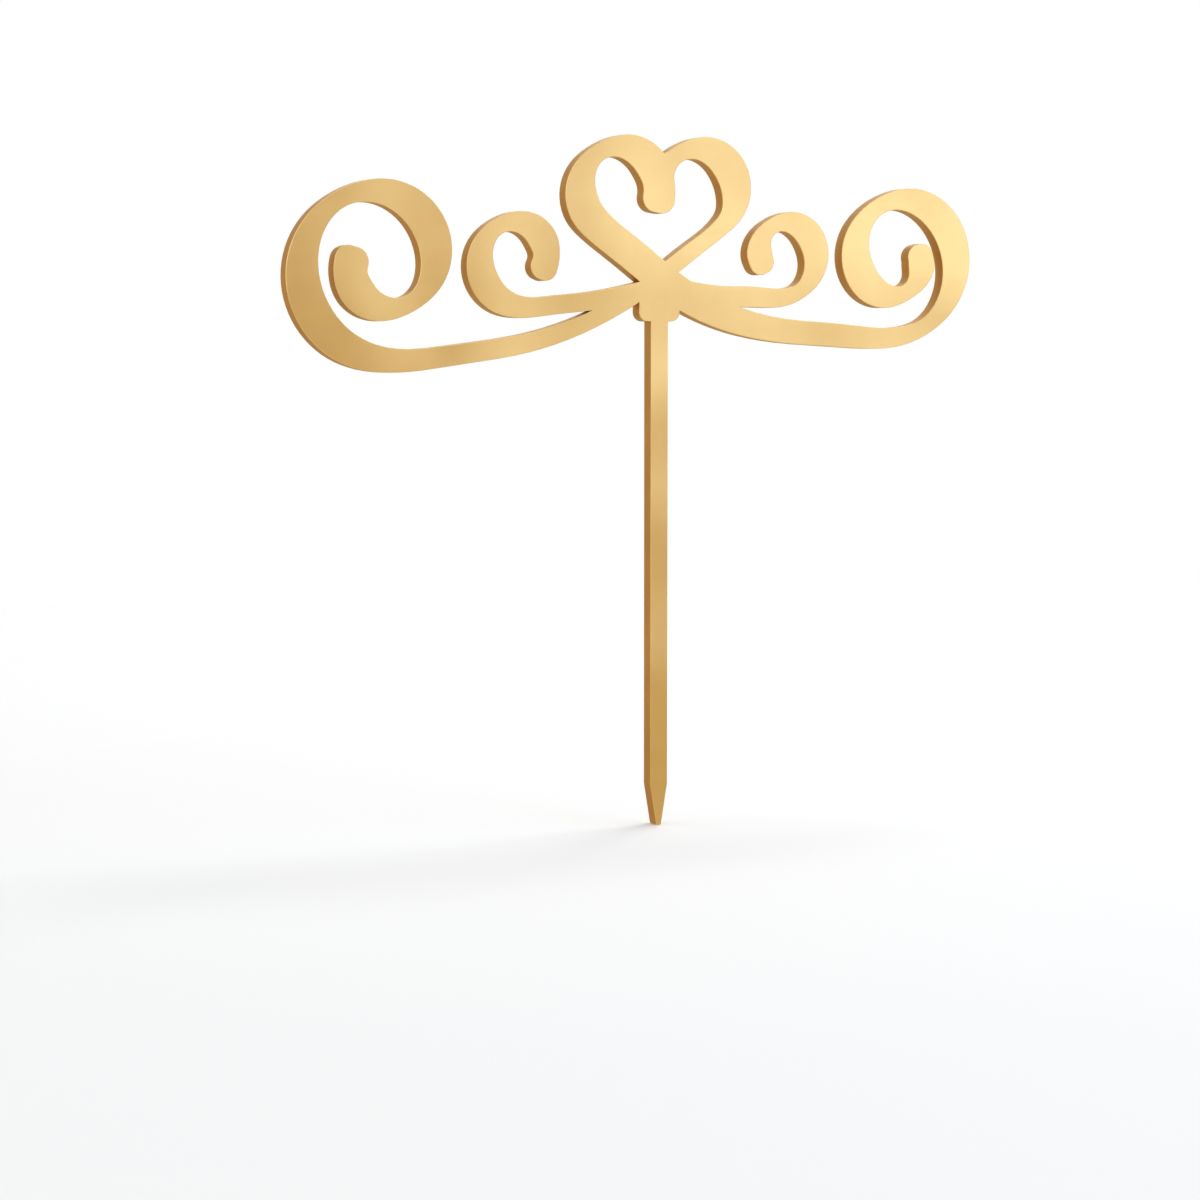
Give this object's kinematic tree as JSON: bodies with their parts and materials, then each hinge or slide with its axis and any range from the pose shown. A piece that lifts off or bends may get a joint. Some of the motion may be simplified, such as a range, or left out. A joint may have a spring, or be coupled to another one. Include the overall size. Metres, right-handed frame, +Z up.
{
  "type": "cake topper",
  "caption": "Flat gold cake topper: a brush-drawn heart with scrolls and tendrils, cut from gold-faced acrylic sheet and keyed onto a pointed stake that is pushed into a cake.",
  "frame": {"origin": "on the stake's centre line at the middle of the sheet's thickness, level with the cake's surface", "axes": "+X to the right along the ornament as seen from the front, -Y out of the front face, +Z up the stake"},
  "size_m": [0.1612, 0.0034, 0.148],
  "materials": {
    "gold_cap": "satin metallised gold film bonded to the sheet, with a faint brushed grain",
    "amber_core": "amber-gold acrylic, laser-cut edges with fine striations across the thickness",
    "clear_cement": "set acrylic cement, tinted by the sheet on both sides"
  },
  "bodies": {
    "root": {"ornament_front_cap": "gold_cap", "ornament_back_cap": "gold_cap", "stake_front_cap": "gold_cap", "stake_back_cap": "gold_cap", "ornament_core": "amber_core", "stake_core": "amber_core", "joint_cement": "clear_cement"}
  },
  "joints": []
}
